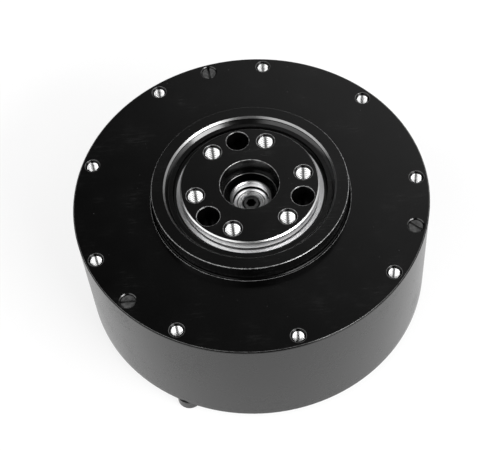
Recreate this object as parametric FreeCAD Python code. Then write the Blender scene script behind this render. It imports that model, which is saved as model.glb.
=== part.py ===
"""Drive unit of a force-feedback racing wheel: a flat round servo motor with a planetary gearbox.

Millimetres. Z is the output axis and points out of the output flange. The origin is where that
axis crosses the front mounting face of the drum. Each named solid is written to parts/NAME.step.
"""

import FreeCAD
import Part
import math
import os

V = FreeCAD.Vector
AXIS = V(0, 0, 1)

# --- driving dimensions: the drum and what a stranger bolts to -------------------------------
DRUM_R = 40.0
DRUM_LENGTH = 29.4          # front face to the outside of the back cover
WALL_INNER_R = 35.0
PLATE_T = 3.6               # front plate, in one piece with the drum wall
BACK_T = 2.0
RIM_CHAMFER = 0.2

RIM_HOLE_R = 37.5           # half the pitch circle diameter
RIM_HOLE_COUNT = 9
RIM_HOLE_FIRST = 81.3       # degrees from +X
SET_SCREW_FIRST = RIM_HOLE_FIRST + 20.0
SET_SCREW_R = 1.75
SET_SCREW_SLOTS = (94.0, 0.0, -42.0)
SET_SCREW_TOP = -0.3
SET_SCREW_POINT = -5.5
BACK_SCREW_FIRST = RIM_HOLE_FIRST + 160.0
BACK_SCREW_HEAD_R = 2.75
BACK_SCREW_HEAD_T = 3.0
BACK_SCREW_GRIP = 8.0       # length of thread in the drum wall

BOSS_R = 22.0
BOSS_TOP = 4.0
BOSS_CHAMFER = 0.15
BOSS_MOUTH_R = 18.9
MOUTH_CHAMFER = 0.4
LIP_R = 17.3                # lip at the bottom of the mouth, over the main bearing
LIP_TOP = 2.65
LIP_CONE = 0.65             # width and height of the cone from the mouth down to the lip
OPENING_R = 22.4            # opening of the front plate, which the boss's land fills

FLANGE_TOP = 4.3
FLANGE_R = 15.5
FLANGE_EDGE = 0.3           # chamfer at the top, and depth of the undercut at the foot
FLANGE_UNDERCUT = 0.45      # height of the undercut
FLANGE_HOLE_R = 12.3
FLANGE_HOLE_COUNT = 6
FLANGE_HOLE_FIRST = 8.7
DOWEL_COUNT = 3
DOWEL_FIRST = FLANGE_HOLE_FIRST + 90.0
DOWEL_R = 2.5
DOWEL_DEPTH = 6.5
PILOT_R = 6.6
PILOT_STEP_R = 6.0
SLEEVE_R = 4.7

# --- standard threads: (minor radius, major radius, pitch, radius of the countersunk mouth) --
M3 = (1.25, 1.5, 0.5, 1.7)
M4 = (1.65, 2.0, 0.7, 2.1)
M25_R = 1.25
DRILL_POINT = math.tan(math.radians(31))
RUNNING = 0.02              # radial clearance of a running fit

# --- ball bearings: bore radius, outer radius, width, ball radius, ball count, shoulders -----
MAIN_BEARING = (15.0, 21.0, 7.0, 1.5, 26, 16.5, 19.2)
NOSE_BEARING = (2.0, 4.0, 3.0, 0.5, 9, 2.55, 3.2)
ROTOR_BEARING = (5.0, 9.5, 5.0, 1.0, 14, 6.2, 8.3)
MAIN_TOP = 1.65
MAIN_BOTTOM = MAIN_TOP - MAIN_BEARING[2]
SNAP_TOP = MAIN_BOTTOM - 0.05
NOSE_TOP = -3.0
ROTOR_BEARING_TOP = -16.2

# --- planetary gears -------------------------------------------------------------------------
MODULE = 0.5
PRESSURE = math.radians(20)
SUN_TEETH = 15
PLANET_TEETH = 24
RING_TEETH = SUN_TEETH + 2 * PLANET_TEETH
BACKLASH = 0.05
PLANET_CENTRE_R = MODULE * (SUN_TEETH + PLANET_TEETH) / 2
GEAR_TOP = -6.55
GEAR_T = 6.0
GEAR_BOTTOM = GEAR_TOP - GEAR_T
RING_R = 18.5
PIN_R = 1.5
BUSH_R = 2.2
PIN_TOP = -3.0
CARRIER_TOP = GEAR_BOTTOM - 0.4
CARRIER_BOTTOM = CARRIER_TOP - 2.2
CARRIER_R = 14.9
POST_R = 2.6

# --- motor -----------------------------------------------------------------------------------
SLOTS = 24
POLES = 28
CORE_TOP = -11.0
CORE_T = 10.0
CORE_BORE_R = 20.5
CORE_R = 30.0
TOOTH_W = 1.8
YOKE_R = 22.6
TIP_R = CORE_R - 1.2
AIR_GAP = 0.5
MAGNET_T = 2.2
ROTOR_INNER_R = CORE_R + AIR_GAP + MAGNET_T
ROTOR_R = ROTOR_INNER_R + 1.7
SHAFT_R = 3.0
SHAFT_NOSE_R = 1.66         # end of the shaft that the hexagon socket is cut in
SHAFT_NOSE = NOSE_TOP - 0.1
LEAD_ANGLE = RIM_HOLE_FIRST + 10.0
LEAD_R = 0.4

# --- heights that several parts share --------------------------------------------------------
FLANGE_BOTTOM = -6.2
HUB_TOP = -6.4              # joint between the bearing housing and the stator hub
HUB_FLANGE_BOTTOM = HUB_TOP - 2.0
RING_BOTTOM = -13.2
WEB_TOP = -15.6
WEB_BOTTOM = -22.3
ROTOR_DISC_TOP = -23.0
ROTOR_DISC_BOTTOM = -25.0
SHAFT_END = ROTOR_DISC_BOTTOM + 1.0
BACK = -DRUM_LENGTH
BACK_INNER = BACK + BACK_T
GEARBOX_FLANGE_R = 31.0
GEARBOX_SCREW_CIRCLE = 27.5
GEARBOX_SCREW_POINT = -1.4

# --- control board ---------------------------------------------------------------------------
BOARD_TOP = -26.4
BOARD_BOTTOM = BOARD_TOP - 0.8
BOARD_R = 32.8
POWER_SIZE = (12.0, 6.0)
POWER_PLACE = (0.0, 22.0)
SIGNAL_SIZE = (8.0, 4.0)
SIGNAL_PLACE = (-15.0, 17.0)


# --- small makers ----------------------------------------------------------------------------
def polar(radius, degrees, z=0.0):
    angle = math.radians(degrees)
    return V(radius * math.cos(angle), radius * math.sin(angle), z)


def ring_of_places(radius, count, first, z=0.0):
    return [polar(radius, first + 360.0 * i / count, z) for i in range(count)]


def cylinder(radius, bottom, top, place=V(0, 0, 0)):
    return Part.makeCylinder(radius, top - bottom, V(place.x, place.y, bottom))


def cone(bottom_r, top_r, bottom, top, place=V(0, 0, 0)):
    return Part.makeCone(bottom_r, top_r, top - bottom, V(place.x, place.y, bottom))


def tube(inner_r, outer_r, bottom, top, place=V(0, 0, 0)):
    return cylinder(outer_r, bottom, top, place).cut(cylinder(inner_r, bottom - 1, top + 1, place))


def turned(profile):
    """Solid of revolution about Z of a closed outline of (radius, height) points."""
    points = [V(r, 0, z) for r, z in profile]
    face = Part.Face(Part.makePolygon(points + points[:1]))
    return face.revolve(V(0, 0, 0), AXIS, 360)


def box(length, width, bottom, top, centre_x=0.0, centre_y=0.0):
    corner = V(centre_x - length / 2, centre_y - width / 2, bottom)
    return Part.makeBox(length, width, top - bottom, corner)


def turn(shape, degrees):
    return shape.rotated(V(0, 0, 0), AXIS, degrees)


def repeat(shape, count):
    return [turn(shape, 360.0 * i / count) for i in range(count)]


def group(solids):
    return Part.makeCompound(solids)


def hex_prism(across_flats, bottom, top, place=V(0, 0, 0)):
    corner_r = across_flats / math.sqrt(3)
    corners = [place + polar(corner_r, 60 * i, bottom) for i in range(6)]
    return Part.Face(Part.makePolygon(corners + corners[:1])).extrude(V(0, 0, top - bottom))


def sector(inner_r, outer_r, bottom, top, half_degrees):
    """Ring segment centred on +X."""
    inner = [polar(inner_r, a, bottom) for a in (-half_degrees, 0, half_degrees)]
    outer = [polar(outer_r, a, bottom) for a in (half_degrees, 0, -half_degrees)]
    edges = [
        Part.Arc(*inner).toShape(),
        Part.makeLine(inner[2], outer[0]),
        Part.Arc(*outer).toShape(),
        Part.makeLine(outer[2], inner[0]),
    ]
    return Part.Face(Part.Wire(edges)).extrude(V(0, 0, top - bottom))


def mouth(radius, flare, z, place):
    """Chamfer cutter for the mouth of a hole that opens upwards at height z."""
    return cone(radius, radius + 2 * flare, z - flare, z + flare, place)


# --- holes and fasteners ---------------------------------------------------------------------
def tapped_hole(thread, top, turns, place):
    """Cutter for a countersunk, tapped hole; each turn of thread is a closed V groove."""
    minor, major, pitch, mouth_r = thread
    start = top - (mouth_r - minor)
    profile = [(0, top + 1), (mouth_r, top + 1), (mouth_r, top), (minor, start)]
    for i in range(turns):
        z = start - i * pitch
        profile += [
            (minor, z - pitch / 4),
            (major, z - pitch * 9 / 16),
            (major, z - pitch * 11 / 16),
            (minor, z - pitch),
        ]
    end = start - (turns + 1) * pitch
    profile += [(minor, end), (0, end - minor * DRILL_POINT)]
    return turned(profile).translated(V(place.x, place.y, 0))


def countersunk_screw(radius, head_r, bottom, top, place):
    """Screw driven from below: flat head face at bottom, point at top."""
    head = cone(head_r, radius, bottom, bottom + head_r - radius, place)
    shank = cylinder(radius, bottom, top, place)
    socket = hex_prism(1.5, bottom - 1, bottom + 0.9, V(place.x, place.y, 0))
    return head.fuse(shank).removeSplitter().cut(socket)


def countersunk_hole(radius, head_r, bottom, top, place):
    head = cone(head_r, radius, bottom, bottom + head_r - radius, place)
    return head.fuse(cylinder(radius, bottom - 1, top, place))


# --- ball bearings ---------------------------------------------------------------------------
def ball_pitch(bearing):
    return (bearing[5] + bearing[6]) / 2


def bearing_rings(bearing, top):
    bore_r, outer_r, width, ball_r, count, inner_shoulder, outer_shoulder = bearing
    bottom = top - width
    corner = min(0.3, width / 15)
    race = Part.makeTorus(ball_pitch(bearing), ball_r + RUNNING, V(0, 0, top - width / 2))
    inner = turned([
        (bore_r, bottom + corner),
        (bore_r + corner, bottom),
        (inner_shoulder, bottom),
        (inner_shoulder, top),
        (bore_r + corner, top),
        (bore_r, top - corner),
    ])
    outer = turned([
        (outer_r, bottom + corner),
        (outer_r - corner, bottom),
        (outer_shoulder, bottom),
        (outer_shoulder, top),
        (outer_r - corner, top),
        (outer_r, top - corner),
    ])
    return outer.cut(race), inner.cut(race)


def bearing_balls(bearing, top):
    width, ball_r, count = bearing[2:5]
    places = ring_of_places(ball_pitch(bearing), count, 0, top - width / 2)
    return group([Part.makeSphere(ball_r, place) for place in places])


def bearing_cage(bearing, top):
    """Ring with a round window for each ball, narrow enough to clear both raceways."""
    width, ball_r, count = bearing[2:5]
    reach = ball_r * 0.35
    pitch_r = ball_pitch(bearing)
    middle = top - width / 2
    half = ball_r * 1.25
    ring = tube(pitch_r - reach, pitch_r + reach, middle - half, middle + half)
    window = Part.makeCylinder(ball_r + RUNNING, 4 * reach, V(pitch_r - 2 * reach, 0, middle), V(1, 0, 0))
    return ring.cut(repeat(window, count))


def bearing_shields(bearing, top, recess, thickness):
    """Two thin rings held by the outer ring; a shallow groove runs round the middle of each."""
    width, inner_shoulder, outer_shoulder = bearing[2], bearing[5], bearing[6]
    inner_r = inner_shoulder + 0.08
    groove_r = inner_r + 0.3 * (outer_shoulder - inner_r)
    groove_w = 0.12 * (outer_shoulder - inner_r)
    upper = turned([
        (inner_r, top - recess - thickness),
        (outer_shoulder, top - recess - thickness),
        (outer_shoulder, top - recess),
        (groove_r + groove_w, top - recess),
        (groove_r, top - recess - thickness / 2),
        (groove_r - groove_w, top - recess),
        (inner_r, top - recess),
    ])
    lower = tube(inner_r, outer_shoulder, top - width + recess, top - width + recess + thickness)
    return group([upper, lower])


# --- gears -----------------------------------------------------------------------------------
def involute(angle):
    return math.tan(angle) - angle


def gear_outline(teeth, root_r, tip_r, half_tooth):
    """Face of an involute gear about the origin, first tooth on +X.

    half_tooth is half of the tooth's angle at the pitch circle, in radians.
    """
    pitch_r = MODULE * teeth / 2
    base_r = pitch_r * math.cos(PRESSURE)
    start_r = max(base_r * 1.0005, root_r)

    def half_angle(radius):
        return half_tooth + involute(PRESSURE) - involute(math.acos(base_r / radius))

    steps = 6
    radii = [start_r + (tip_r - start_r) * i / steps for i in range(steps + 1)]
    gap = math.pi / teeth
    edges = []
    for tooth in range(teeth):
        centre = 2 * math.pi * tooth / teeth

        def point(radius, angle):
            return polar(radius, math.degrees(centre + angle))

        rising = [point(r, -half_angle(r)) for r in radii]
        falling = [point(r, half_angle(r)) for r in reversed(radii)]
        root_in = point(root_r, -half_angle(start_r))
        root_out = point(root_r, half_angle(start_r))
        root_end = point(root_r, 2 * gap - half_angle(start_r))
        if start_r > root_r:
            edges.append(Part.makeLine(root_in, rising[0]))
        for flank in (rising, falling):
            curve = Part.BSplineCurve()
            curve.interpolate(flank)
            if flank is falling:
                edges.append(Part.Arc(rising[-1], point(tip_r, 0), falling[0]).toShape())
            edges.append(curve.toShape())
        if start_r > root_r:
            edges.append(Part.makeLine(falling[-1], root_out))
        edges.append(Part.Arc(root_out, point(root_r, gap), root_end).toShape())
    return Part.Face(Part.Wire(edges))


def outside_gear(teeth, bottom, top):
    pitch_r = MODULE * teeth / 2
    half_tooth = (math.pi * MODULE / 2 - BACKLASH) / (2 * pitch_r)
    face = gear_outline(teeth, pitch_r - 1.25 * MODULE, pitch_r + 0.95 * MODULE, half_tooth)
    face.translate(V(0, 0, bottom))
    return face.extrude(V(0, 0, top - bottom))


def planet_angle(position):
    """Turn of a planet, in degrees, that meshes it with a sun whose first tooth is on +X."""
    sun_phase = (position * SUN_TEETH / 360.0) % 1.0
    return position + 180.0 - (0.5 - sun_phase) * 360.0 / PLANET_TEETH


def ring_angle(position):
    """Turn of the ring gear, in degrees, that meshes it with the planet at this position."""
    planet_phase = ((position - planet_angle(position)) * PLANET_TEETH / 360.0) % 1.0
    return position - planet_phase * 360.0 / RING_TEETH


def ring_gear():
    pitch_r = MODULE * RING_TEETH / 2
    half_space = (math.pi * MODULE / 2 + BACKLASH) / (2 * pitch_r)
    face = gear_outline(RING_TEETH, pitch_r - 0.9 * MODULE, pitch_r + 1.25 * MODULE, half_space)
    face.translate(V(0, 0, RING_BOTTOM - 1))
    teeth = face.extrude(V(0, 0, HUB_TOP - RING_BOTTOM + 2))
    blank = cylinder(RING_R, RING_BOTTOM, HUB_TOP - 0.1)
    return blank.cut(turn(teeth, ring_angle(DOWEL_FIRST)))


def planet_gear(index):
    position = DOWEL_FIRST + 120.0 * index
    gear = outside_gear(PLANET_TEETH, GEAR_BOTTOM, GEAR_TOP)
    gear = gear.cut(cylinder(BUSH_R + RUNNING, GEAR_BOTTOM - 1, GEAR_TOP + 1))
    return turn(gear, planet_angle(position)).translated(polar(PLANET_CENTRE_R, position))


def planet_places():
    return ring_of_places(PLANET_CENTRE_R, 3, DOWEL_FIRST)


def post_places():
    return ring_of_places(PLANET_CENTRE_R, 3, DOWEL_FIRST + 60)


def planet_bushes():
    """Sleeves pressed on the pins; the planets turn on them."""
    return group([tube(PIN_R, BUSH_R, GEAR_BOTTOM, GEAR_TOP, place) for place in planet_places()])


def planet_pins():
    return group([cylinder(PIN_R, CARRIER_BOTTOM, PIN_TOP, place) for place in planet_places()])


def planet_washers():
    washers = []
    for place in planet_places():
        washers.append(tube(PIN_R, 3.4, GEAR_TOP, FLANGE_BOTTOM, place))
        washers.append(tube(PIN_R, 3.4, CARRIER_TOP, GEAR_BOTTOM, place))
    return group(washers)


# --- housing ---------------------------------------------------------------------------------
def drum_housing():
    wall_bottom = BACK_INNER
    drum = turned([
        (WALL_INNER_R, wall_bottom),
        (DRUM_R, wall_bottom),
        (DRUM_R, -RIM_CHAMFER),
        (DRUM_R - RIM_CHAMFER, 0),
        (OPENING_R + 0.15, 0),
        (OPENING_R, -0.15),
        (OPENING_R, -PLATE_T),
        (WALL_INNER_R, -PLATE_T),
    ])
    cutters = []
    for place in ring_of_places(RIM_HOLE_R, RIM_HOLE_COUNT, RIM_HOLE_FIRST):
        cutters.append(tapped_hole(M3, 0, 12, place))
    for place in set_screw_places():
        hole = cylinder(SET_SCREW_R, SET_SCREW_POINT - 0.3, 1, place)
        cutters.append(hole.fuse(mouth(SET_SCREW_R, 0.2, 0, place)))
    for place in back_screw_places():
        cutters.append(cylinder(M3[1], wall_bottom - 1, wall_bottom + BACK_SCREW_GRIP + 1, place))
    for place in gearbox_screw_places():
        cutters.append(cylinder(M25_R, -PLATE_T - 1, GEARBOX_SCREW_POINT + 0.3, place))
    cutters.append(lead_channel())
    return drum.cut(cutters)


def lead_channel():
    """Groove down the inside of the wall for the three motor leads."""
    groove = box(3.0, 6.4, BACK_INNER - 1, -8.4, WALL_INNER_R + 0.9, 0)
    return turn(groove, LEAD_ANGLE)


def back_screw_places():
    return ring_of_places(RIM_HOLE_R, 3, BACK_SCREW_FIRST)


def set_screw_places():
    return ring_of_places(RIM_HOLE_R, len(SET_SCREW_SLOTS), SET_SCREW_FIRST)


def gearbox_screw_places():
    return ring_of_places(GEARBOX_SCREW_CIRCLE, 6, 30)


def rim_set_screws():
    """Slotted set screws, each left with its slot at its own angle."""
    screws = []
    top, point = SET_SCREW_TOP, SET_SCREW_POINT
    for place, slot_angle in zip(set_screw_places(), SET_SCREW_SLOTS):
        body = turned([
            (0, point),
            (SET_SCREW_R - 0.3, point),
            (SET_SCREW_R, point + 0.3),
            (SET_SCREW_R, top - 0.2),
            (SET_SCREW_R - 0.2, top),
            (0, top),
        ])
        slot = turn(box(5, 0.6, top - 0.7, top + 1), slot_angle)
        screws.append(body.cut(slot).translated(place))
    return group(screws)


def bearing_housing():
    """The boss in the middle of the front: holds the main bearing under a lip."""
    body = turned([
        (LIP_R, MAIN_TOP),
        (MAIN_BEARING[1], MAIN_TOP),
        (MAIN_BEARING[1], HUB_TOP),
        (GEARBOX_FLANGE_R, HUB_TOP),
        (GEARBOX_FLANGE_R, -PLATE_T),
        (OPENING_R - RUNNING, -PLATE_T),
        (OPENING_R - RUNNING, -0.4),
        (BOSS_R, 0),
        (BOSS_R, BOSS_TOP - BOSS_CHAMFER),
        (BOSS_R - BOSS_CHAMFER, BOSS_TOP),
        (BOSS_MOUTH_R + MOUTH_CHAMFER, BOSS_TOP),
        (BOSS_MOUTH_R, BOSS_TOP - MOUTH_CHAMFER),
        (BOSS_MOUTH_R, LIP_TOP + LIP_CONE),
        (BOSS_MOUTH_R - LIP_CONE, LIP_TOP),
        (LIP_R, LIP_TOP),
    ])
    holes = [cylinder(M25_R + 0.1, HUB_TOP - 1, 1, place) for place in gearbox_screw_places()]
    return body.cut(holes)


def stator_hub():
    """Flange under the bearing housing, with the tube that carries ring gear and stator."""
    seat_r = ROTOR_BEARING[1]
    clip_top = ROTOR_BEARING_TOP - ROTOR_BEARING[2]
    body = turned([
        (RING_R, HUB_TOP),
        (MAIN_BEARING[6] + 0.1, HUB_TOP),
        (MAIN_BEARING[6] + 0.1, MAIN_BOTTOM),
        (MAIN_BEARING[1] - RUNNING, MAIN_BOTTOM),
        (MAIN_BEARING[1] - RUNNING, HUB_TOP),
        (GEARBOX_FLANGE_R, HUB_TOP),
        (GEARBOX_FLANGE_R, HUB_FLANGE_BOTTOM),
        (CORE_BORE_R + 1.3, HUB_FLANGE_BOTTOM),
        (CORE_BORE_R + 1.3, CORE_TOP),
        (CORE_BORE_R, CORE_TOP),
        (CORE_BORE_R, WEB_BOTTOM),
        (seat_r, WEB_BOTTOM),
        (seat_r, clip_top - 0.6),
        (seat_r + 0.4, clip_top - 0.6),
        (seat_r + 0.4, clip_top),
        (seat_r, clip_top),
        (seat_r, ROTOR_BEARING_TOP),
        (seat_r - 1.2, ROTOR_BEARING_TOP),
        (seat_r - 1.2, WEB_TOP),
        (RING_R - 1.5, WEB_TOP),
        (RING_R - 1.5, RING_BOTTOM),
        (RING_R, RING_BOTTOM),
    ])
    holes = []
    for place in gearbox_screw_places():
        holes.append(countersunk_hole(M25_R + 0.1, 2.4, HUB_FLANGE_BOTTOM, HUB_TOP + 1, place))
    return body.cut(holes)


def gearbox_screws():
    places = gearbox_screw_places()
    bottom = HUB_FLANGE_BOTTOM
    return group([countersunk_screw(M25_R, 2.3, bottom, GEARBOX_SCREW_POINT, p) for p in places])


def rotor_bearing_clip():
    """Internal retaining ring, open at one side."""
    top = ROTOR_BEARING_TOP - ROTOR_BEARING[2]
    ring = tube(8.4, 9.85, top - 0.55, top)
    return ring.cut(box(4, 3, top - 2, top + 1, -9.5, 0))


def back_cover():
    edge = 0.3
    body = turned([
        (0, BACK + 0.4),
        (30, BACK + 0.4),
        (30.4, BACK),
        (DRUM_R - edge, BACK),
        (DRUM_R, BACK + edge),
        (DRUM_R, BACK_INNER),
        (WALL_INNER_R - 0.05, BACK_INNER),
        (WALL_INNER_R - 0.05, BACK_INNER + 0.8),
        (WALL_INNER_R - 0.8, BACK_INNER + 0.8),
        (WALL_INNER_R - 0.8, BACK_INNER - 0.5),
        (0, BACK_INNER - 0.5),
    ])
    pads = [cylinder(2.4, BACK_INNER - 1, BOARD_BOTTOM, place) for place in board_screw_places()]
    body = body.fuse(pads)
    cutters = [cylinder(M3[1] + 0.15, BACK - 1, 1, place) for place in back_screw_places()]
    for place in board_screw_places():
        cutters.append(cylinder(0.8, BOARD_BOTTOM - 1.4, BOARD_BOTTOM + 1, place))
    cutters.append(connector_shape(POWER_SIZE, POWER_PLACE, BACK - 1, BACK_INNER + 1, 0.15))
    cutters.append(connector_shape(SIGNAL_SIZE, SIGNAL_PLACE, BACK - 1, BACK_INNER + 1, 0.15))
    return body.cut(cutters)


def back_cover_screws():
    """Socket cap screws; their heads stand proud of the back cover."""
    screws = []
    for place in back_screw_places():
        head_bottom = BACK - BACK_SCREW_HEAD_T
        end = BACK_INNER + BACK_SCREW_GRIP
        body = turned([
            (0, head_bottom),
            (BACK_SCREW_HEAD_R - 0.4, head_bottom),
            (BACK_SCREW_HEAD_R, head_bottom + 0.4),
            (BACK_SCREW_HEAD_R, BACK),
            (M3[1], BACK),
            (M3[1], end - 0.4),
            (M3[1] - 0.4, end),
            (0, end),
        ])
        socket = hex_prism(2.5, head_bottom - 1, head_bottom + 1.5)
        screws.append(body.cut(socket).translated(place))
    return group(screws)


# --- output flange and planet carrier --------------------------------------------------------
def output_flange():
    journal_r = MAIN_BEARING[0]
    body = turned([
        (PILOT_R + 0.12, FLANGE_TOP),
        (FLANGE_R - FLANGE_EDGE, FLANGE_TOP),
        (FLANGE_R, FLANGE_TOP - FLANGE_EDGE),
        (FLANGE_R, MAIN_TOP + FLANGE_UNDERCUT),
        (FLANGE_R - FLANGE_EDGE, MAIN_TOP + FLANGE_UNDERCUT),
        (FLANGE_R - FLANGE_EDGE, MAIN_TOP),
        (journal_r, MAIN_TOP),
        (journal_r, SNAP_TOP),
        (journal_r - 0.6, SNAP_TOP),
        (journal_r - 0.6, SNAP_TOP - 0.6),
        (journal_r, SNAP_TOP - 0.6),
        (journal_r, FLANGE_BOTTOM),
        (SLEEVE_R, FLANGE_BOTTOM),
        (SLEEVE_R, -4.0),
        (PILOT_STEP_R, -4.0),
        (PILOT_STEP_R, -0.12),
        (PILOT_STEP_R + 0.12, 0),
        (PILOT_R, 0),
        (PILOT_R, FLANGE_TOP - 0.12),
    ])
    posts = [cylinder(POST_R, CARRIER_TOP, FLANGE_BOTTOM + 1, place) for place in post_places()]
    body = body.fuse(posts)
    cutters = []
    for place in ring_of_places(FLANGE_HOLE_R, FLANGE_HOLE_COUNT, FLANGE_HOLE_FIRST):
        cutters.append(tapped_hole(M4, FLANGE_TOP, 9, place))
    for place in ring_of_places(FLANGE_HOLE_R, DOWEL_COUNT, DOWEL_FIRST):
        hole = cylinder(DOWEL_R, FLANGE_TOP - DOWEL_DEPTH, FLANGE_TOP + 1, place)
        cutters.append(hole.fuse(mouth(DOWEL_R, 0.15, FLANGE_TOP, place)))
    for place in planet_places():
        cutters.append(cylinder(PIN_R, FLANGE_BOTTOM - 1, PIN_TOP, place))
    for place in post_places():
        cutters.append(cylinder(M25_R, CARRIER_TOP - 1, CARRIER_TOP + 5.2, place))
    return body.cut(cutters)


def flange_snap_ring():
    """External retaining ring that holds the main bearing on the flange."""
    ring = tube(MAIN_BEARING[0] - 0.55, 16.1, SNAP_TOP - 0.55, SNAP_TOP)
    return ring.cut(box(4, 3, SNAP_TOP - 2, SNAP_TOP + 1, -15.5, 0))


def nose_bearing_sleeve():
    """Steel sleeve in the flange; stands up round the small bearing in the middle.

    A groove at the foot of its mouth gives relief to the corner of the bearing's seat.
    """
    seat_r = NOSE_BEARING[1]
    top = -0.8
    relief = 0.5
    return turned([
        (seat_r, FLANGE_BOTTOM),
        (SLEEVE_R, FLANGE_BOTTOM),
        (SLEEVE_R, top - 0.1),
        (SLEEVE_R - 0.1, top),
        (seat_r + 0.35, top),
        (seat_r + 0.1, top - 0.25),
        (seat_r + 0.1, NOSE_TOP + relief),
        (seat_r + 0.35, NOSE_TOP + relief),
        (seat_r + 0.35, NOSE_TOP),
        (seat_r, NOSE_TOP),
    ])


def carrier_back_plate():
    bottom, top = CARRIER_BOTTOM, CARRIER_TOP
    plate = tube(4.6, CARRIER_R, bottom, top)
    cutters = [cylinder(PIN_R, bottom - 1, top + 1, place) for place in planet_places()]
    for place in post_places():
        cutters.append(countersunk_hole(M25_R + 0.05, 2.3, bottom, top + 1, place))
    return plate.cut(cutters)


def carrier_screws():
    bottom = CARRIER_BOTTOM
    screws = [countersunk_screw(M25_R, 2.2, bottom, bottom + 7, place) for place in post_places()]
    return group(screws)


# --- rotor -----------------------------------------------------------------------------------
def sun_gear_shaft():
    """Shaft with the sun gear cut on it and a hexagon socket in its front end."""
    gear = outside_gear(SUN_TEETH, GEAR_BOTTOM, GEAR_TOP)
    journal_r = NOSE_BEARING[0]
    journal = turned([
        (0, GEAR_TOP - 1),
        (2.6, GEAR_TOP - 1),
        (2.6, NOSE_TOP - NOSE_BEARING[2]),
        (journal_r, NOSE_TOP - NOSE_BEARING[2]),
        (journal_r, SHAFT_NOSE - 0.4),
        (SHAFT_NOSE_R, SHAFT_NOSE - 0.4),
        (SHAFT_NOSE_R, SHAFT_NOSE - 0.05),
        (SHAFT_NOSE_R - 0.05, SHAFT_NOSE),
        (0, SHAFT_NOSE),
    ])
    tail = cylinder(SHAFT_R, SHAFT_END, GEAR_BOTTOM + 1)
    socket = hex_prism(2.0, SHAFT_NOSE - 1.8, SHAFT_NOSE + 1)
    return gear.fuse([journal, tail]).cut(socket)


def rotor_hub():
    """Dished disc behind the stator, with the journal for the rotor bearing."""
    journal_r = ROTOR_BEARING[0]
    shoulder = ROTOR_BEARING_TOP - ROTOR_BEARING[2]
    body = turned([
        (SHAFT_R, ROTOR_DISC_BOTTOM),
        (ROTOR_R, ROTOR_DISC_BOTTOM),
        (ROTOR_R, ROTOR_DISC_TOP),
        (ROTOR_INNER_R, ROTOR_DISC_TOP),
        (ROTOR_INNER_R, ROTOR_DISC_TOP + 0.8),
        (ROTOR_INNER_R - 1.2, ROTOR_DISC_TOP + 0.8),
        (ROTOR_INNER_R - 1.2, ROTOR_DISC_TOP),
        (journal_r + 1.1, ROTOR_DISC_TOP),
        (journal_r + 1.1, shoulder),
        (journal_r, shoulder),
        (journal_r, ROTOR_BEARING_TOP),
        (SHAFT_R, ROTOR_BEARING_TOP),
    ])
    window = sector(12, 28, ROTOR_DISC_BOTTOM - 1, ROTOR_DISC_TOP + 0.5, 22)
    return body.cut(repeat(window, 6))


def rotor_ring():
    return tube(ROTOR_INNER_R, ROTOR_R, ROTOR_DISC_TOP, CORE_TOP + 1.0)


def rotor_magnets():
    half = 180.0 / POLES - 0.6
    magnet = sector(CORE_R + AIR_GAP, ROTOR_INNER_R, CORE_TOP - CORE_T, CORE_TOP, half)
    return group(repeat(magnet, POLES))


def encoder_magnet():
    return cylinder(SHAFT_R, ROTOR_DISC_BOTTOM - 0.2, SHAFT_END)


# --- stator ----------------------------------------------------------------------------------
def stator_core():
    bottom = CORE_TOP - CORE_T
    yoke = tube(CORE_BORE_R, YOKE_R, bottom, CORE_TOP)
    tip_half = 180.0 / SLOTS - 0.85
    tip = sector(TIP_R, CORE_R, bottom, CORE_TOP, tip_half)
    stem = box(TIP_R - YOKE_R + 1.2, TOOTH_W, bottom, CORE_TOP, (TIP_R + YOKE_R) / 2, 0)
    return yoke.fuse(repeat(tip, SLOTS) + repeat(stem, SLOTS)).removeSplitter()


def wound_loop(wall, start_r, end_r, inner_w, inner_half_height):
    """Rectangular loop round a tooth on +X, with rounded outer corners."""
    middle = CORE_TOP - CORE_T / 2
    length = end_r - start_r
    centre = (start_r + end_r) / 2
    width = inner_w + 2 * wall
    height = inner_half_height + wall
    outer = box(length, width, middle - height, middle + height, centre, 0)
    along = [e for e in outer.Edges if abs(e.Vertexes[0].X - e.Vertexes[1].X) > length / 2]
    outer = outer.makeFillet(wall * 0.45, along)
    hole = box(length + 2, inner_w, middle - inner_half_height, middle + inner_half_height, centre, 0)
    return outer.cut(hole)


def coil_bobbins():
    bobbin = wound_loop(0.15, YOKE_R + 0.25, TIP_R - 0.05, TOOTH_W + 0.04, CORE_T / 2 + 0.02)
    return group(repeat(bobbin, SLOTS))


def stator_windings():
    inner_w = TOOTH_W + 0.4
    coil = wound_loop(1.15, YOKE_R + 0.5, TIP_R - 0.3, inner_w, CORE_T / 2 + 0.2)
    return group(repeat(coil, SLOTS))


def phase_leads():
    """Three leads from the front of the windings, down the wall groove, to the board."""
    leads = []
    over, down = -8.95, -25.95
    wall_r = WALL_INNER_R + 1.1
    bend = 0.8
    corner = bend * (1 - math.sqrt(0.5))
    for offset in (-2.0, 0.0, 2.0):
        edges = [
            Part.makeLine(V(27.5, offset, over), V(wall_r - bend, offset, over)),
            Part.Arc(
                V(wall_r - bend, offset, over),
                V(wall_r - corner, offset, over - corner),
                V(wall_r, offset, over - bend),
            ).toShape(),
            Part.makeLine(V(wall_r, offset, over - bend), V(wall_r, offset, down + bend)),
            Part.Arc(
                V(wall_r, offset, down + bend),
                V(wall_r - corner, offset, down + corner),
                V(wall_r - bend, offset, down),
            ).toShape(),
            Part.makeLine(V(wall_r - bend, offset, down), V(31.5, offset, down)),
        ]
        section = Part.Wire(Part.makeCircle(LEAD_R, V(27.5, offset, over), V(1, 0, 0)))
        lead = Part.Wire(edges).makePipeShell([section], True, False)
        leads.append(turn(lead, LEAD_ANGLE))
    return group(leads)


# --- control board and connectors ------------------------------------------------------------
def board_screw_places():
    return ring_of_places(29.5, 4, 45)


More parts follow.
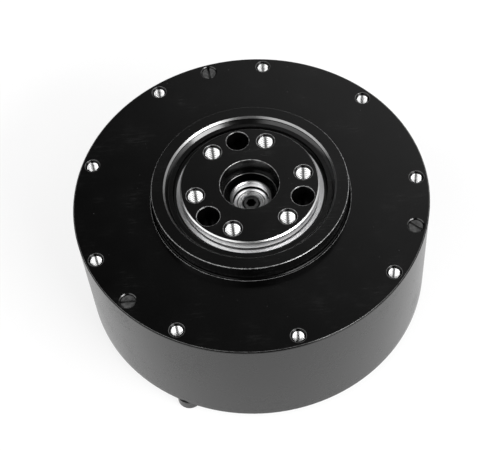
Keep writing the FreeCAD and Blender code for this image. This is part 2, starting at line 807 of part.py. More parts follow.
def control_board():
    board = cylinder(BOARD_R, BOARD_BOTTOM, BOARD_TOP)
    return board.cut([cylinder(1.1, BOARD_TOP - 2, BOARD_TOP + 1, p) for p in board_screw_places()])


def board_screws():
    screws = []
    for place in board_screw_places():
        head = cylinder(1.9, BOARD_TOP, BOARD_TOP + 0.8)
        shank = cylinder(0.8, BOARD_TOP - 2.0, BOARD_TOP)
        cross = box(1.8, 0.4, BOARD_TOP + 0.4, BOARD_TOP + 2)
        screw = head.fuse(shank).cut([cross, turn(cross, 90)])
        screws.append(screw.translated(place))
    return group(screws)


def encoder_chip():
    return box(4.0, 4.0, BOARD_TOP, BOARD_TOP + 0.7)


def power_transistors():
    transistor = box(5.0, 6.0, BOARD_TOP, BOARD_TOP + 0.8, 20.0, 0)
    return group(repeat(transistor, 6))


def connector_shape(size, place, bottom, top, clearance=0.0):
    length, width = size
    return box(length + 2 * clearance, width + 2 * clearance, bottom, top, *place)


def connector(size, place, pins):
    """Low socket on the back of the board, flush with the outside of the back cover."""
    body = connector_shape(size, place, BACK, BOARD_BOTTOM)
    pitch = size[0] / pins
    cutters = []
    for i in range(pins):
        x = place[0] + pitch * (i + 0.5 - pins / 2)
        cutters.append(box(pitch * 0.6, size[1] * 0.5, BACK - 1, BACK + 1.6, x, place[1]))
    return body.cut(cutters)


def all_parts():
    main_outer, main_inner = bearing_rings(MAIN_BEARING, MAIN_TOP)
    nose_outer, nose_inner = bearing_rings(NOSE_BEARING, NOSE_TOP)
    rotor_outer, rotor_inner = bearing_rings(ROTOR_BEARING, ROTOR_BEARING_TOP)
    return {
        "drum_housing": drum_housing(),
        "rim_set_screws": rim_set_screws(),
        "bearing_housing": bearing_housing(),
        "stator_hub": stator_hub(),
        "gearbox_screws": gearbox_screws(),
        "back_cover": back_cover(),
        "back_cover_screws": back_cover_screws(),
        "main_bearing_outer_ring": main_outer,
        "main_bearing_inner_ring": main_inner,
        "main_bearing_balls": bearing_balls(MAIN_BEARING, MAIN_TOP),
        "main_bearing_cage": bearing_cage(MAIN_BEARING, MAIN_TOP),
        "main_bearing_seals": bearing_shields(MAIN_BEARING, MAIN_TOP, 0.25, 0.5),
        "output_flange": output_flange(),
        "flange_snap_ring": flange_snap_ring(),
        "nose_bearing_sleeve": nose_bearing_sleeve(),
        "nose_bearing_outer_ring": nose_outer,
        "nose_bearing_inner_ring": nose_inner,
        "nose_bearing_balls": bearing_balls(NOSE_BEARING, NOSE_TOP),
        "nose_bearing_cage": bearing_cage(NOSE_BEARING, NOSE_TOP),
        "nose_bearing_shields": bearing_shields(NOSE_BEARING, NOSE_TOP, 0.12, 0.2),
        "carrier_back_plate": carrier_back_plate(),
        "carrier_screws": carrier_screws(),
        "planet_pins": planet_pins(),
        "planet_bushes": planet_bushes(),
        "planet_washers": planet_washers(),
        "planet_gear_1": planet_gear(0),
        "planet_gear_2": planet_gear(1),
        "planet_gear_3": planet_gear(2),
        "ring_gear": ring_gear(),
        "sun_gear_shaft": sun_gear_shaft(),
        "rotor_hub": rotor_hub(),
        "rotor_ring": rotor_ring(),
        "rotor_magnets": rotor_magnets(),
        "rotor_bearing_outer_ring": rotor_outer,
        "rotor_bearing_inner_ring": rotor_inner,
        "rotor_bearing_balls": bearing_balls(ROTOR_BEARING, ROTOR_BEARING_TOP),
        "rotor_bearing_cage": bearing_cage(ROTOR_BEARING, ROTOR_BEARING_TOP),
        "rotor_bearing_shields": bearing_shields(ROTOR_BEARING, ROTOR_BEARING_TOP, 0.2, 0.25),
        "rotor_bearing_clip": rotor_bearing_clip(),
        "stator_core": stator_core(),
        "coil_bobbins": coil_bobbins(),
        "stator_windings": stator_windings(),
        "phase_leads": phase_leads(),
        "encoder_magnet": encoder_magnet(),
        "control_board": control_board(),
        "encoder_chip": encoder_chip(),
        "power_transistors": power_transistors(),
        "power_connector": connector(POWER_SIZE, POWER_PLACE, 2),
        "signal_connector": connector(SIGNAL_SIZE, SIGNAL_PLACE, 4),
        "board_screws": board_screws(),
    }


os.makedirs("parts", exist_ok=True)
for name, shape in all_parts().items():
    shape.exportStep(os.path.join("parts", name + ".step"))
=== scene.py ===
"""Looks for the drive unit: black anodised drum, bright threads and bearings, pale floor, soft light.

Blender's scene is in metres, in the CAD's own frame: Z is the output axis, and the front mounting
face of the drum is at z = 0. Lengths named below are in millimetres and angles in degrees, unless
their comment says otherwise.
"""

import bpy
import math
from mathutils import Matrix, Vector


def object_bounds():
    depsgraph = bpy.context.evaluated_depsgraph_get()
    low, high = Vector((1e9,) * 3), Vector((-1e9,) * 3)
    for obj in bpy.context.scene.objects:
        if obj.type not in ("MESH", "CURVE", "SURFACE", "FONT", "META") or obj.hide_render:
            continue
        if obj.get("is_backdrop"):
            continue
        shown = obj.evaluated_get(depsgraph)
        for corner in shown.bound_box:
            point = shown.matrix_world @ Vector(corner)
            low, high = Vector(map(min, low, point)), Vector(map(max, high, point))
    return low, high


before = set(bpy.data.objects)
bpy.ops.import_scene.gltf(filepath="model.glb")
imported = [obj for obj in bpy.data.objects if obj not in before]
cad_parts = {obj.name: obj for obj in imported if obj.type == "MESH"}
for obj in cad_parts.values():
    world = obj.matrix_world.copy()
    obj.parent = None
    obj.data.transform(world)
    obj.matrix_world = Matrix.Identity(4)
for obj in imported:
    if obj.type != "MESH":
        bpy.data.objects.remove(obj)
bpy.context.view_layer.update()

MM = 0.001

# --- the interfaces that looks depend on, as in the CAD ---------------------------------------
DRUM_R = 40.0
OPENING_R = 22.4

BOSS_R = 22.0
BOSS_TOP = 4.0
BOSS_CHAMFER = 0.15
BOSS_MOUTH_R = 18.9
MOUTH_CHAMFER = 0.4

FLANGE_R = 15.5
FLANGE_TOP = 4.3
FLANGE_EDGE = 0.3           # chamfer at its top, and depth of the undercut at its foot
PILOT_R = 6.6
PILOT_STEP_R = 6.0
PILOT_STEP_TOP = 0.0

RIM_HOLE_R = 37.5           # half the pitch circle diameter
RIM_HOLE_COUNT = 9
RIM_HOLE_FIRST = 81.3       # degrees from +X
FLANGE_HOLE_R = 12.3
FLANGE_HOLE_COUNT = 6
FLANGE_HOLE_FIRST = 8.7
DOWEL_COUNT = 3
DOWEL_FIRST = 98.7
DOWEL_R = 2.5
M3_THREAD_R = 1.5
M3_MOUTH_R = 1.7
M4_THREAD_R = 2.0
M4_MOUTH_R = 2.1
COUNTERSINK = 0.45          # depth of the cone at the mouth of every tapped hole

SHAFT_NOSE = -3.1           # end of the shaft that can be seen
SHAFT_NOSE_R = 1.66
SOCKET_R = 1.155            # to the corners of a 2 mm hexagon
SHIELD_R = 3.2              # outer edge of the small bearing's shield
SLEEVE_TOP = -0.8
SLEEVE_GROOVE = -2.5        # top of the relief groove at the sleeve's foot
SLEEVE_GROOVE_R = 4.35

LAMINATION_T = 0.35
WIRE_PITCH = 0.45

# --- camera -----------------------------------------------------------------------------------
ELEVATION = 54.99           # above the front face
DISTANCE = 0.29591          # metres, from the origin
ROLL = -5.092
TILT = -1.333               # the front face sits a little above the middle of the picture
LENS = 94.78
SENSOR = 36.0

# --- floor ------------------------------------------------------------------------------------
FLOOR_GLOW = 0.78           # light it gives off, which keeps it pale
FLOOR_SIZE = 6.0            # metres
FLOOR_GAP = 0.0002          # metres

# --- light: soft panels in a dark room, placed around the part --------------------------------
ROOM = 0.03
PANELS = [
    # azimuth, elevation, half width, half height and fade in degrees, then brightness
    (35.0, 20.0, 52.0, 30.0, 30.0, 1.5),
    (208.0, 30.0, 40.0, 34.0, 12.0, 2.5),
    (322.0, 35.0, 30.0, 30.0, 12.0, 2.0),
    (316.0, 30.0, 19.0, 8.0, 3.0, 18.0),
]

# --- finish of the metals ---------------------------------------------------------------------
GLOSS = 1.46                # refractive index of the black oxide on faces
MATT = 1.18                 # and in countersinks and corners, which stay darker
SATIN = 0.12                # roughness of turned faces
WALL_SATIN = 0.2            # and of the drum's side wall
STEEL = (0.56, 0.56, 0.57)
BRIGHT = (0.93, 0.93, 0.94)


# --- a short way to write shader nodes --------------------------------------------------------
class Looks:
    """One material being built. Values are numbers or node outputs, and lengths are in mm."""

    def __init__(self, name):
        self.material = bpy.data.materials.new(name)
        self.material.use_nodes = True
        self.tree = self.material.node_tree
        self.tree.nodes.clear()
        self.output = self.node("ShaderNodeOutputMaterial")
        coords = self.node("ShaderNodeTexCoord")
        scaled = self.node("ShaderNodeVectorMath", operation="SCALE")
        self.link(coords.outputs["Object"], scaled.inputs[0])
        scaled.inputs["Scale"].default_value = 1.0 / MM
        self.place = scaled.outputs[0]
        split = self.node("ShaderNodeSeparateXYZ")
        self.link(self.place, split.inputs[0])
        self.x, self.y, self.z = split.outputs
        self.radius = self.math("SQRT", self.add(self.mul(self.x, self.x), self.mul(self.y, self.y)))
        self.angle = self.math("ARCTAN2", self.y, self.x)

    def node(self, kind, **settings):
        made = self.tree.nodes.new(kind)
        for key, value in settings.items():
            setattr(made, key, value)
        return made

    def link(self, source, target):
        self.tree.links.new(source, target)

    def put(self, value, target):
        if isinstance(value, bpy.types.NodeSocket):
            self.link(value, target)
        elif hasattr(target.default_value, "__len__") and not hasattr(value, "__len__"):
            target.default_value = (value, value, value, 1.0)[: len(target.default_value)]
        else:
            target.default_value = value

    def math(self, operation, *values):
        made = self.node("ShaderNodeMath", operation=operation)
        for value, target in zip(values, made.inputs):
            self.put(value, target)
        return made.outputs[0]

    def add(self, a, b):
        return self.math("ADD", a, b)

    def sub(self, a, b):
        return self.math("SUBTRACT", a, b)

    def mul(self, a, b):
        return self.math("MULTIPLY", a, b)

    def both(self, *masks):
        made = masks[0]
        for mask in masks[1:]:
            made = self.mul(made, mask)
        return made

    def either(self, *masks):
        made = masks[0]
        for mask in masks[1:]:
            made = self.math("MAXIMUM", made, mask)
        return made

    def ramp(self, value, low, high, start=0.0, end=1.0):
        """start below low, end above high, straight between."""
        made = self.node("ShaderNodeMapRange", clamp=True)
        for item, target in zip((value, low, high, start, end), made.inputs):
            self.put(item, target)
        return made.outputs[0]

    def above(self, value, level, soft=0.02):
        return self.ramp(value, level - soft, level + soft)

    def below(self, value, level, soft=0.02):
        return self.ramp(value, level - soft, level + soft, 1.0, 0.0)

    def between(self, value, low, high):
        return self.both(self.above(value, low), self.below(value, high))

    def mix(self, factor, a, b):
        """a where factor is 0, b where it is 1; colours, given as a number or three."""
        made = self.node("ShaderNodeMix", data_type="RGBA")
        self.put(factor, made.inputs[0])
        for value, target in ((a, made.inputs[6]), (b, made.inputs[7])):
            if isinstance(value, (tuple, list)):
                value = (*value[:3], 1.0)
            self.put(value, target)
        return made.outputs[2]

    def blend(self, factor, a, b):
        """a where factor is 0, b where it is 1; numbers."""
        return self.add(self.mul(a, self.sub(1.0, factor)), self.mul(b, factor))

    def stretch(self, factors):
        made = self.node("ShaderNodeVectorMath", operation="MULTIPLY")
        self.link(self.place, made.inputs[0])
        made.inputs[1].default_value = factors
        return made.outputs[0]

    def polar_place(self, around, radial, along):
        """Place as (arc, radius, height), each times its factor, for marks left by turning."""
        made = self.node("ShaderNodeCombineXYZ")
        self.link(self.mul(self.angle, around), made.inputs[0])
        self.link(self.mul(self.radius, radial), made.inputs[1])
        self.link(self.mul(self.z, along), made.inputs[2])
        return made.outputs[0]

    def noise(self, scale, detail=3.0, rough=0.55, place=None):
        made = self.node("ShaderNodeTexNoise")
        self.link(place or self.place, made.inputs["Vector"])
        made.inputs["Scale"].default_value = scale
        made.inputs["Detail"].default_value = detail
        made.inputs["Roughness"].default_value = rough
        return made.outputs["Fac"]

    def cells(self, scale, feature="F1", place=None):
        made = self.node("ShaderNodeTexVoronoi", feature=feature)
        self.link(place or self.place, made.inputs["Vector"])
        made.inputs["Scale"].default_value = scale
        return made.outputs["Distance"]

    def bump(self, height, depth, strength, normal=None):
        """depth is the height in mm that a height of 1 stands for."""
        made = self.node("ShaderNodeBump")
        self.put(strength, made.inputs["Strength"])
        made.inputs["Distance"].default_value = depth * MM
        self.link(height, made.inputs["Height"])
        if normal is not None:
            self.link(normal, made.inputs["Normal"])
        return made.outputs[0]

    def soft_edges(self, radius):
        made = self.node("ShaderNodeBevel", samples=6)
        made.inputs["Radius"].default_value = radius * MM
        return made.outputs[0]

    def surface(self, color, roughness, metallic=0.0, ior=1.5, normal=None, grain=0.0, coat=0.0):
        made = self.node("ShaderNodeBsdfPrincipled")
        if isinstance(color, (tuple, list)):
            color = (*color[:3], 1.0)
        self.put(color, made.inputs["Base Color"])
        self.put(roughness, made.inputs["Roughness"])
        self.put(metallic, made.inputs["Metallic"])
        self.put(ior, made.inputs["IOR"])
        self.put(grain, made.inputs["Anisotropic"])
        self.put(coat, made.inputs["Coat Weight"])
        if normal is not None:
            self.link(normal, made.inputs["Normal"])
        return made.outputs[0]

    def finish(self, surface, other=None, mask=None):
        """Ends the material with a surface, or with other where mask is 1."""
        if other is None:
            self.link(surface, self.output.inputs[0])
            return self.material
        mixed = self.node("ShaderNodeMixShader")
        self.link(mask, mixed.inputs[0])
        self.link(surface, mixed.inputs[1])
        self.link(other, mixed.inputs[2])
        self.link(mixed.outputs[0], self.output.inputs[0])
        return self.material

    def hole_distance(self, circle_r, count, first):
        """Distance in mm from the nearest of count places evenly spaced on a circle."""
        step = 2 * math.pi / count
        turned = self.sub(self.angle, math.radians(first) - step / 2)
        folded = self.sub(self.math("FLOORED_MODULO", turned, step), step / 2)
        across = self.mul(self.radius, self.math("SINE", folded))
        out = self.sub(self.mul(self.radius, self.math("COSINE", folded)), circle_r)
        return self.math("SQRT", self.add(self.mul(across, across), self.mul(out, out)))


# --- materials --------------------------------------------------------------------------------
def turning_marks(looks):
    """Fine rings left by the lathe."""
    return looks.noise(1.0, 3.0, 0.6, looks.polar_place(1.0, 8.0, 8.0))


def patchy_wear_and_highlight(looks):
    """How strong the pale line along a sharp edge is, uneven along it: partly wear of the oxide, partly
    a painted edge highlight.
    """
    return looks.ramp(looks.noise(1.5, 3.0, 0.7), 0.4, 0.6, 0.15, 0.6)


def bare_metal(looks, color=0.88, roughness=0.20):
    """Freshly cut aluminium, with the fine marks of the cutter."""
    cut = looks.noise(1.0, 2.0, 0.5, looks.polar_place(6.0, 9.0, 9.0))
    cloud = looks.noise(0.35)
    shade = looks.mul(color, looks.ramp(cloud, 0.3, 0.7, 0.86, 1.0))
    rough = looks.add(looks.sub(roughness, 0.05), looks.mul(cut, 0.14))
    made = looks.bump(cut, 0.008, 0.6)
    return looks.surface(shade, rough, 1.0, normal=made)


def anodised(looks, wear_and_highlight=None, roughness=SATIN, ior=GLOSS):
    """Satin black oxide over turned aluminium: dark, with a mirror only at a glancing angle."""
    edges = looks.soft_edges(0.06)
    rings = looks.noise(1.0, 2.0, 0.6, looks.polar_place(1.5, 7.0, 7.0))
    grain = looks.noise(9.0, 2.0, 0.7)
    cloud = looks.noise(0.09, 4.0, 0.6)
    scuffs = looks.noise(1.0, 3.0, 0.7, looks.stretch((0.25, 2.4, 1.0)))
    haze = looks.ramp(looks.mul(scuffs, cloud), 0.30, 0.46)
    dust = looks.below(looks.cells(0.85), 0.085, 0.03)
    dust = looks.mul(dust, looks.ramp(looks.noise(0.5), 0.56, 0.66))
    shade = looks.mix(looks.ramp(cloud, 0.35, 0.7), 0.0008, 0.0016)
    shade = looks.mix(looks.mul(haze, 0.4), shade, 0.010)
    shade = looks.mix(looks.mul(dust, 0.5), shade, 0.07)
    # pale lines along edges, painted into the colour: partly wear of the oxide, partly a painted edge
    # highlight
    if wear_and_highlight is not None:
        shade = looks.mix(wear_and_highlight, shade, 0.32)
    rough = looks.add(roughness, looks.mul(grain, 0.06))
    rough = looks.add(rough, looks.mul(cloud, 0.05))
    rough = looks.add(rough, looks.mul(haze, 0.12))
    made = looks.bump(rings, 0.003, 0.5, edges)
    made = looks.bump(grain, 0.002, 0.5, made)
    return looks.surface(shade, rough, 0.0, ior, made)


def drum_looks():
    """Black, with bare threads, thin pale edges that are partly wear of the oxide and partly a painted
    edge highlight, and a darker line under the rim.
    """
    looks = Looks("drum_anodised")
    near = looks.hole_distance(RIM_HOLE_R, RIM_HOLE_COUNT, RIM_HOLE_FIRST)
    in_thread = looks.both(looks.below(near, M3_THREAD_R + 0.04), looks.below(looks.z, -COUNTERSINK))
    chip = looks.ramp(looks.noise(0.8, 3.0, 0.7), 0.35, 0.6)
    top = looks.above(looks.z, -0.16, 0.01)
    opening = looks.both(looks.between(looks.radius, OPENING_R - 0.05, OPENING_R + 0.2), top)
    mouths = looks.both(looks.between(near, M3_MOUTH_R - 0.06, M3_MOUTH_R + 0.08), top)
    rim = looks.both(looks.between(looks.radius, DRUM_R - 0.26, DRUM_R - 0.16), top)
    # thin pale lines at the opening, the hole mouths and the rim: partly wear of the oxide, partly a
    # painted edge highlight
    wear_and_highlight = looks.either(opening, looks.mul(looks.either(mouths, rim), 0.25))
    wear_and_highlight = looks.mul(wear_and_highlight, looks.add(0.3, looks.mul(chip, 0.7)))
    wall = looks.both(looks.above(looks.radius, DRUM_R - 0.05), looks.below(looks.z, -0.3, 0.2))
    under_rim = looks.both(looks.above(looks.radius, DRUM_R - 0.17), looks.above(looks.z, -0.5, 0.18))
    dull = looks.either(under_rim, looks.below(near, M3_MOUTH_R - 0.03))
    coat = anodised(looks, wear_and_highlight, looks.blend(wall, SATIN, WALL_SATIN), looks.blend(dull, GLOSS, MATT))
    return looks.finish(coat, bare_metal(looks), in_thread)


def boss_looks():
    """The chamfer of the mouth is cut after anodising, so it is bare; the outer edge has a thin pale
    line, partly wear of the oxide and partly a painted edge highlight.
    """
    looks = Looks("boss_anodised")
    top = looks.above(looks.z, BOSS_TOP - MOUTH_CHAMFER - 0.02, 0.01)
    mouth = looks.both(looks.below(looks.radius, BOSS_MOUTH_R + MOUTH_CHAMFER + 0.02), top)
    # outer edge: thin pale line, partly wear of the oxide and partly a painted edge highlight
    outer = looks.both(
        looks.between(looks.radius, BOSS_R - BOSS_CHAMFER, BOSS_R - 0.02),
        looks.above(looks.z, BOSS_TOP - BOSS_CHAMFER),
    )
    chip = patchy_wear_and_highlight(looks)
    wall = looks.above(looks.radius, BOSS_R - 0.02)
    wall = looks.both(wall, looks.below(looks.z, BOSS_TOP - BOSS_CHAMFER))
    coat = anodised(looks, looks.mul(outer, chip), ior=looks.blend(wall, GLOSS, MATT))
    return looks.finish(coat, bare_metal(looks, 0.20, 0.28), mouth)


def flange_looks():
    """Black on top and in its bores; the threads and the outer wall are cut bright."""
    looks = Looks("flange_anodised")
    near = looks.hole_distance(FLANGE_HOLE_R, FLANGE_HOLE_COUNT, FLANGE_HOLE_FIRST)
    below_cone = looks.below(looks.z, FLANGE_TOP - COUNTERSINK)
    in_thread = looks.both(looks.below(near, M4_THREAD_R + 0.04), below_cone)
    wall = looks.above(looks.radius, FLANGE_R - FLANGE_EDGE + 0.02)
    wall = looks.both(wall, looks.below(looks.z, FLANGE_TOP - 0.02))
    dowel = looks.hole_distance(FLANGE_HOLE_R, DOWEL_COUNT, DOWEL_FIRST)
    mouths = looks.either(
        looks.between(near, M4_MOUTH_R - 0.06, M4_MOUTH_R + 0.07),
        looks.between(dowel, DOWEL_R + 0.06, DOWEL_R + 0.2),
    )
    bore = looks.between(looks.radius, PILOT_R - 0.05, PILOT_R + 0.12)
    top_edges = looks.both(looks.either(mouths, bore), looks.above(looks.z, FLANGE_TOP - 0.14))
    step = looks.both(
        looks.between(looks.radius, PILOT_STEP_R - 0.1, PILOT_STEP_R + 0.14),
        looks.between(looks.z, PILOT_STEP_TOP - 0.14, PILOT_STEP_TOP + 0.1),
    )
    chip = patchy_wear_and_highlight(looks)
    # pale lines at the hole mouths, the bore and the pilot step: partly wear of the oxide, partly a
    # painted edge highlight
    wear_and_highlight = looks.mul(looks.either(top_edges, looks.mul(step, 0.3)), chip)
    color = looks.blend(wall, 0.88, 0.50)
    cut = bare_metal(looks, color, looks.blend(wall, 0.20, 0.30))
    coat = anodised(looks, wear_and_highlight, ior=looks.blend(looks.below(near, M4_MOUTH_R - 0.05), GLOSS, MATT))
    return looks.finish(coat, cut, looks.either(in_thread, wall))


def plain_anodised():
    looks = Looks("anodised")
    return looks.finish(anodised(looks))


def turned_metal(name, color, roughness, marks=0.012, grain=0.3, tint=0.85):
    """Machined metal with rings left by the tool, and a little uneven in colour and polish."""
    looks = Looks(name)
    rings = turning_marks(looks)
    cloud = looks.noise(0.3, 4.0)
    dull = tuple(c * tint for c in color)
    shade = looks.mix(looks.ramp(cloud, 0.3, 0.7), dull, color)
    rough = looks.add(roughness - 0.05, looks.mul(rings, 0.16))
    made = looks.bump(rings, marks, 0.6, looks.soft_edges(0.04))
    return looks.finish(looks.surface(shade, rough, 1.0, normal=made, grain=grain))


def shaft_looks():
    """Ground steel, darker at the nose, and nearly black in its socket and at its step, which is
    painted shade.
    """
    looks = Looks("shaft_steel")
    rings = turning_marks(looks)
    cloud = looks.noise(0.6, 4.0)
    nose = looks.above(looks.z, SHAFT_NOSE - 2.0, 0.2)
    # painted shade: the hex socket and the step beside the nose are coloured nearly black
    socket = looks.below(looks.radius, SOCKET_R + 0.045)
    socket = looks.both(socket, looks.below(looks.z, SHAFT_NOSE - 0.05))
    black = looks.both(nose, looks.either(socket, looks.above(looks.radius, SHAFT_NOSE_R + 0.02)))
    shade = looks.blend(black, looks.blend(nose, 0.56, 0.24), 0.02)
    shade = looks.mul(shade, looks.ramp(cloud, 0.3, 0.7, 0.85, 1.0))
    rough = looks.add(0.22, looks.mul(rings, 0.14))
    made = looks.bump(rings, 0.006, 0.6, looks.soft_edges(0.04))
    return looks.finish(looks.surface(shade, rough, 1.0, normal=made, grain=0.3))


def sleeve_looks():
    """Turned steel, darker on its end face than in its mouth, and nearly black in the relief groove at
    the foot, which is painted shade.
    """
    looks = Looks("sleeve_steel")
    rings = turning_marks(looks)
    end_face = looks.above(looks.z, SLEEVE_TOP - 0.2)
    inside = looks.below(looks.radius, SLEEVE_GROOVE_R + 0.05)
    # painted shade: the relief groove is coloured nearly black
    groove = looks.both(looks.below(looks.z, SLEEVE_GROOVE), inside)
    shade = looks.blend(groove, looks.blend(end_face, 0.93, 0.32), 0.05)
    shade = looks.mul(shade, looks.ramp(looks.noise(0.6), 0.3, 0.7, 0.88, 1.0))
    rough = looks.add(0.24, looks.mul(rings, 0.14))
    made = looks.bump(rings, 0.006, 0.6, looks.soft_edges(0.03))
    return looks.finish(looks.surface(shade, rough, 1.0, normal=made, grain=0.6))


def shield_looks():
    """Pressed steel shield, nearly black in the crimp at its outer edge, which is painted shade."""
    looks = Looks("shield_steel")
    rings = turning_marks(looks)
    crimp = looks.above(looks.radius, SHIELD_R - 0.16)
    # painted shade: the crimp at the outer edge is coloured nearly black
    shade = looks.mul(looks.blend(crimp, 0.78, 0.04), looks.ramp(looks.noise(0.6), 0.3, 0.7, 0.85, 1.0))
    rough = looks.add(0.26, looks.mul(rings, 0.14))
    made = looks.bump(rings, 0.006, 0.6, looks.soft_edges(0.03))
    return looks.finish(looks.surface(shade, rough, 1.0, normal=made, grain=0.6))


def black_oxide(name="black_oxide", dark=0.018, light=0.045):
    looks = Looks(name)
    cloud = looks.noise(1.2, 4.0)
    grain = looks.noise(14.0, 2.0)
    shade = looks.mix(looks.ramp(cloud, 0.3, 0.7), dark, light)
    rough = looks.add(0.30, looks.mul(grain, 0.16))
    made = looks.bump(grain, 0.008, 0.5, looks.soft_edges(0.06))
    return looks.finish(looks.surface(shade, rough, 0.55, 1.6, made))


def moulded(name, color, roughness):
    """Plastic or rubber with a fine mould texture."""
    looks = Looks(name)
    cloud = looks.noise(0.6, 4.0)
    grain = looks.noise(12.0, 2.0)
    dull = tuple(c * 0.85 for c in color)
    shade = looks.mix(looks.ramp(cloud, 0.3, 0.7), dull, color)
    rough = looks.add(roughness - 0.06, looks.mul(grain, 0.14))
    made = looks.bump(grain, 0.01, 0.5, looks.soft_edges(0.08))
    return looks.finish(looks.surface(shade, rough, 0.0, 1.45, made))


def laminated_steel():
    looks = Looks("laminations")
    sheets = looks.math("SINE", looks.mul(looks.z, 2 * math.pi / LAMINATION_T))
    cloud = looks.noise(0.8, 4.0)
    shade = looks.mix(looks.ramp(cloud, 0.3, 0.7), (0.20, 0.21, 0.23), (0.34, 0.35, 0.38))
    made = looks.bump(sheets, 0.03, 0.6)
    return looks.finish(looks.surface(shade, 0.42, 1.0, normal=made))


def wound_copper():
    looks = Looks("enamelled_copper")
    turns = looks.math("SINE", looks.mul(looks.radius, 2 * math.pi / WIRE_PITCH))
    cloud = looks.noise(1.5, 3.0)
    shade = looks.mix(looks.ramp(cloud, 0.3, 0.7), (0.42, 0.13, 0.035), (0.62, 0.24, 0.08))
    # painted shade: the valleys between the turns are coloured dark brown
    shade = looks.mix(looks.ramp(turns, -1.0, -0.2, 0.7, 0.0), shade, (0.10, 0.03, 0.01))
    made = looks.bump(turns, 0.12, 0.8)
    return looks.finish(looks.surface(shade, 0.28, 0.85, normal=made, coat=0.6))


def circuit_board():
    looks = Looks("board")
    tracks = looks.cells(0.45, "DISTANCE_TO_EDGE", looks.stretch((1.0, 0.6, 0.2)))
    track = looks.below(tracks, 0.06, 0.01)
    cloud = looks.noise(0.7)
    shade = looks.mix(looks.ramp(cloud, 0.3, 0.7), (0.006, 0.045, 0.022), (0.010, 0.065, 0.032))
    shade = looks.mix(looks.mul(track, 0.6), shade, (0.03, 0.13, 0.06))
    made = looks.bump(track, 0.035, 0.7)
    return looks.finish(looks.surface(shade, 0.30, 0.0, 1.5, made))


def dress_everything():
    steel = turned_metal("machined_steel", STEEL, 0.28)
    ground = turned_metal("ground_steel", BRIGHT, 0.30, marks=0.005, grain=0.8, tint=0.92)
    aluminium = turned_metal("turned_aluminium", (0.66, 0.67, 0.68), 0.26)
    oxide = black_oxide()
    nickel = turned_metal("nickel", (0.60, 0.59, 0.55), 0.20, marks=0.004)
    bronze = turned_metal("bronze", (0.52, 0.30, 0.13), 0.34)
    rubber = moulded("seal_rubber", (0.010, 0.010, 0.010), 0.42)
    ivory = moulded("cage_polymer", (0.62, 0.55, 0.40), 0.45)
    chip = moulded("chip_body", (0.012, 0.012, 0.013), 0.5)
    socket = moulded("connector_polymer", (0.66, 0.64, 0.58), 0.42)
    bobbin = moulded("bobbin_polymer", (0.60, 0.58, 0.52), 0.5)
    insulation = moulded("wire_insulation", (0.015, 0.015, 0.016), 0.35)
    chosen = {
        drum_looks(): ["drum_housing"],
        boss_looks(): ["bearing_housing"],
        flange_looks(): ["output_flange"],
        plain_anodised(): ["back_cover"],
        aluminium: ["stator_hub", "rotor_hub"],
        steel: [
            "ring_gear", "carrier_back_plate", "planet_washers", "planet_gear_1",
            "planet_gear_2", "planet_gear_3", "rotor_ring", "board_screws",
            "rotor_bearing_shields",
        ],
        ground: [
            "main_bearing_outer_ring", "main_bearing_inner_ring", "main_bearing_balls",
            "nose_bearing_outer_ring", "nose_bearing_inner_ring", "nose_bearing_balls",
            "rotor_bearing_outer_ring", "rotor_bearing_inner_ring", "rotor_bearing_balls",
            "planet_pins",
        ],
        oxide: [
            "gearbox_screws", "back_cover_screws", "flange_snap_ring",
            "carrier_screws", "rotor_bearing_clip",
        ],
        black_oxide("worn_oxide", dark=0.03, light=0.12): ["rim_set_screws"],
        nickel: ["rotor_magnets", "encoder_magnet"],
        shaft_looks(): ["sun_gear_shaft"],
        shield_looks(): ["nose_bearing_shields"],
        sleeve_looks(): ["nose_bearing_sleeve"],
        bronze: ["planet_bushes"],
        rubber: ["main_bearing_seals"],
        ivory: ["main_bearing_cage", "rotor_bearing_cage", "nose_bearing_cage"],
        chip: ["encoder_chip", "power_transistors"],
        socket: ["power_connector", "signal_connector"],
        bobbin: ["coil_bobbins"],
        insulation: ["phase_leads"],
        laminated_steel(): ["stator_core"],
        wound_copper(): ["stator_windings"],
        circuit_board(): ["control_board"],
    }
    left = set(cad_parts)
    for material, names in chosen.items():
        for name in names:
            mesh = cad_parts[name].data
            mesh.materials.clear()
            mesh.materials.append(material)
            left.discard(name)
    assert not left, f"no material for {sorted(left)}"


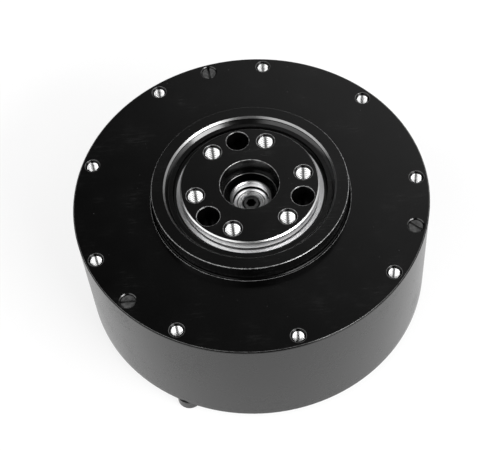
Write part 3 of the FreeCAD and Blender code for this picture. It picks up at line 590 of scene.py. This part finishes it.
# --- floor, light and camera ------------------------------------------------------------------
def pale_floor():
    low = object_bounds()[0][2]
    bpy.ops.mesh.primitive_plane_add(size=FLOOR_SIZE, location=(0, 0, low - FLOOR_GAP))
    floor = bpy.context.object
    floor.name = "floor"
    looks = Looks("pale_floor")
    cloud = looks.noise(0.01, 3.0)
    grain = looks.noise(0.8, 2.0)
    shade = looks.mix(cloud, 0.17, 0.19)
    made = looks.bump(grain, 0.02, 0.1)
    surface = looks.surface(shade, roughness=0.7, normal=made)
    surface.node.inputs["Emission Color"].default_value = (1.0, 1.0, 1.0, 1.0)
    surface.node.inputs["Emission Strength"].default_value = FLOOR_GLOW
    floor.data.materials.append(looks.finish(surface))
    floor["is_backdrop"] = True


def studio(dim, panels):
    """Every panel adds its brightness inside a window of directions with a soft edge."""
    world = bpy.data.worlds.new("studio")
    bpy.context.scene.world = world
    looks = Looks.__new__(Looks)    # only its ways to write nodes: a world has no material
    world.use_nodes = True
    looks.tree = world.node_tree
    split = looks.node("ShaderNodeSeparateXYZ")
    looks.link(looks.node("ShaderNodeTexCoord").outputs["Generated"], split.inputs[0])
    x, y, z = split.outputs
    azimuth = looks.math("ARCTAN2", y, x)
    elevation = looks.math("ARCSINE", z)
    total = dim
    for centre, height, half_width, half_height, fade, brightness in panels:
        turned = looks.add(looks.sub(azimuth, math.radians(centre)), math.pi)
        across = looks.sub(looks.math("FLOORED_MODULO", turned, 2 * math.pi), math.pi)
        up = looks.sub(elevation, math.radians(height))
        inside = looks.both(
            soft_window(looks, across, half_width, fade),
            soft_window(looks, up, half_height, fade),
        )
        total = looks.add(total, looks.mul(inside, brightness))
    background = looks.tree.nodes["Background"]
    background.inputs["Color"].default_value = (1.0, 1.0, 1.0, 1.0)
    looks.link(total, background.inputs["Strength"])


def soft_window(looks, angle, half_width, fade):
    size = looks.math("ABSOLUTE", angle)
    inner, outer = math.radians(half_width - fade / 2), math.radians(half_width + fade / 2)
    return looks.ramp(size, inner, outer, 1.0, 0.0)


def camera():
    data = bpy.data.cameras.new("camera")
    data.sensor_fit = "HORIZONTAL"
    data.sensor_width = SENSOR
    data.lens = LENS
    data.clip_start = 0.01
    made = bpy.data.objects.new("camera", data)
    e = math.radians(ELEVATION)
    stand = Matrix.Translation((0, -DISTANCE * math.cos(e), DISTANCE * math.sin(e)))
    look = Matrix.Rotation(math.pi / 2 - e, 4, "X")
    roll = Matrix.Rotation(math.radians(ROLL), 4, "Z")
    tilt = Matrix.Rotation(math.radians(TILT), 4, "X")
    made.matrix_world = stand @ look @ roll @ tilt
    bpy.context.scene.collection.objects.link(made)
    bpy.context.scene.camera = made


dress_everything()
pale_floor()
studio(ROOM, PANELS)
camera()
bpy.context.scene.view_settings.view_transform = "Standard"
